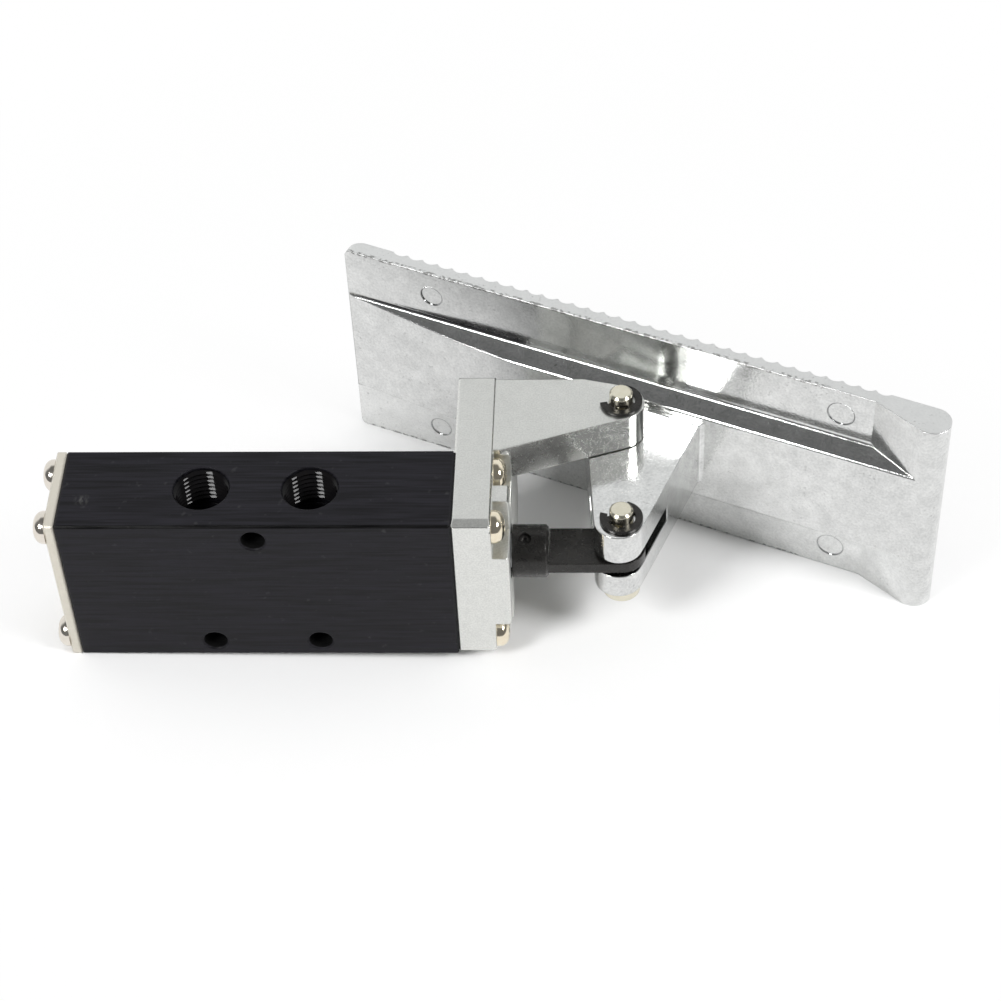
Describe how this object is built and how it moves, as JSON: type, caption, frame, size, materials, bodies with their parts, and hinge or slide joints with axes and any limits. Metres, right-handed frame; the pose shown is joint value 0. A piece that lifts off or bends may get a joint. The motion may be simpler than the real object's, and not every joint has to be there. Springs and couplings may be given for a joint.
{
  "type": "foot pedal air valve",
  "caption": "Flat black spool valve with threaded air ports and a die-cast end bracket whose arm carries a ribbed rocking foot pedal that pulls the spool through a forked lug.",
  "frame": {"origin": "centre of the supply port's mouth, on the body's three-port face", "axes": "+X along the spool from the rear cover towards the pedal's nose, +Y away from the mounting face towards the tread, +Z from the three-port face to the two-port face, which is up in the pictured pose"},
  "size_m": [0.2089, 0.087, 0.06],
  "materials": {
    "body_black": "black anodised, fine lengthwise lines",
    "cover_nickel": "warm nickel plate",
    "screw_steel": "bright zinc plate",
    "bracket_cast": "die-cast, satin",
    "pedal_cast": "die-cast, bright satin with flow marks",
    "eye_black": "black oxide",
    "clip_black": "black oxide spring steel",
    "pin_nickel": "pale yellow zinc plate",
    "spool_alloy": "turned, clear anodised",
    "seal_rubber": "matte black nitrile",
    "cup_brass": "turned",
    "bush_bronze": "sintered bronze",
    "spring_steel": "drawn wire"
  },
  "bodies": {
    "valve": {"valve_body": "body_black", "rear_seal": "seal_rubber", "rear_cover": "cover_nickel", "rear_screws": "screw_steel", "return_spring": "spring_steel", "guide_bush": "bush_bronze", "front_seal": "seal_rubber", "front_bracket": "bracket_cast", "rod_wiper": "seal_rubber", "front_screws": "screw_steel", "pivot_pin": "pin_nickel", "pivot_clip": "clip_black"},
    "pedal": {"foot_pedal": "pedal_cast", "clevis_pin": "pin_nickel", "clevis_clip": "clip_black"},
    "slider": {"spool": "spool_alloy", "spool_seals": "seal_rubber", "spring_cup": "cup_brass", "rod_eye": "eye_black", "eye_set_screw": "eye_black"}
  },
  "joints": [
    {"name": "pedal_rock", "type": "hinge", "parent": "valve", "child": "pedal", "pos_m": [0.0834, 0.0276, 0.0225], "axis": [0, 0, 1], "range_deg": [0, 12.5], "stiffness_Nm_per_rad": 1.14, "springref_deg": -12.43},
    {"name": "spool_travel", "type": "slide", "parent": "valve", "child": "slider", "axis": [1, 0, 0], "range_m": [0, 0.00605], "deforming": ["return_spring"]}
  ],
  "couplings": [
    {"joint": "spool_travel", "follows": "pedal_rock", "m_per_rad": 0.0276}
  ]
}
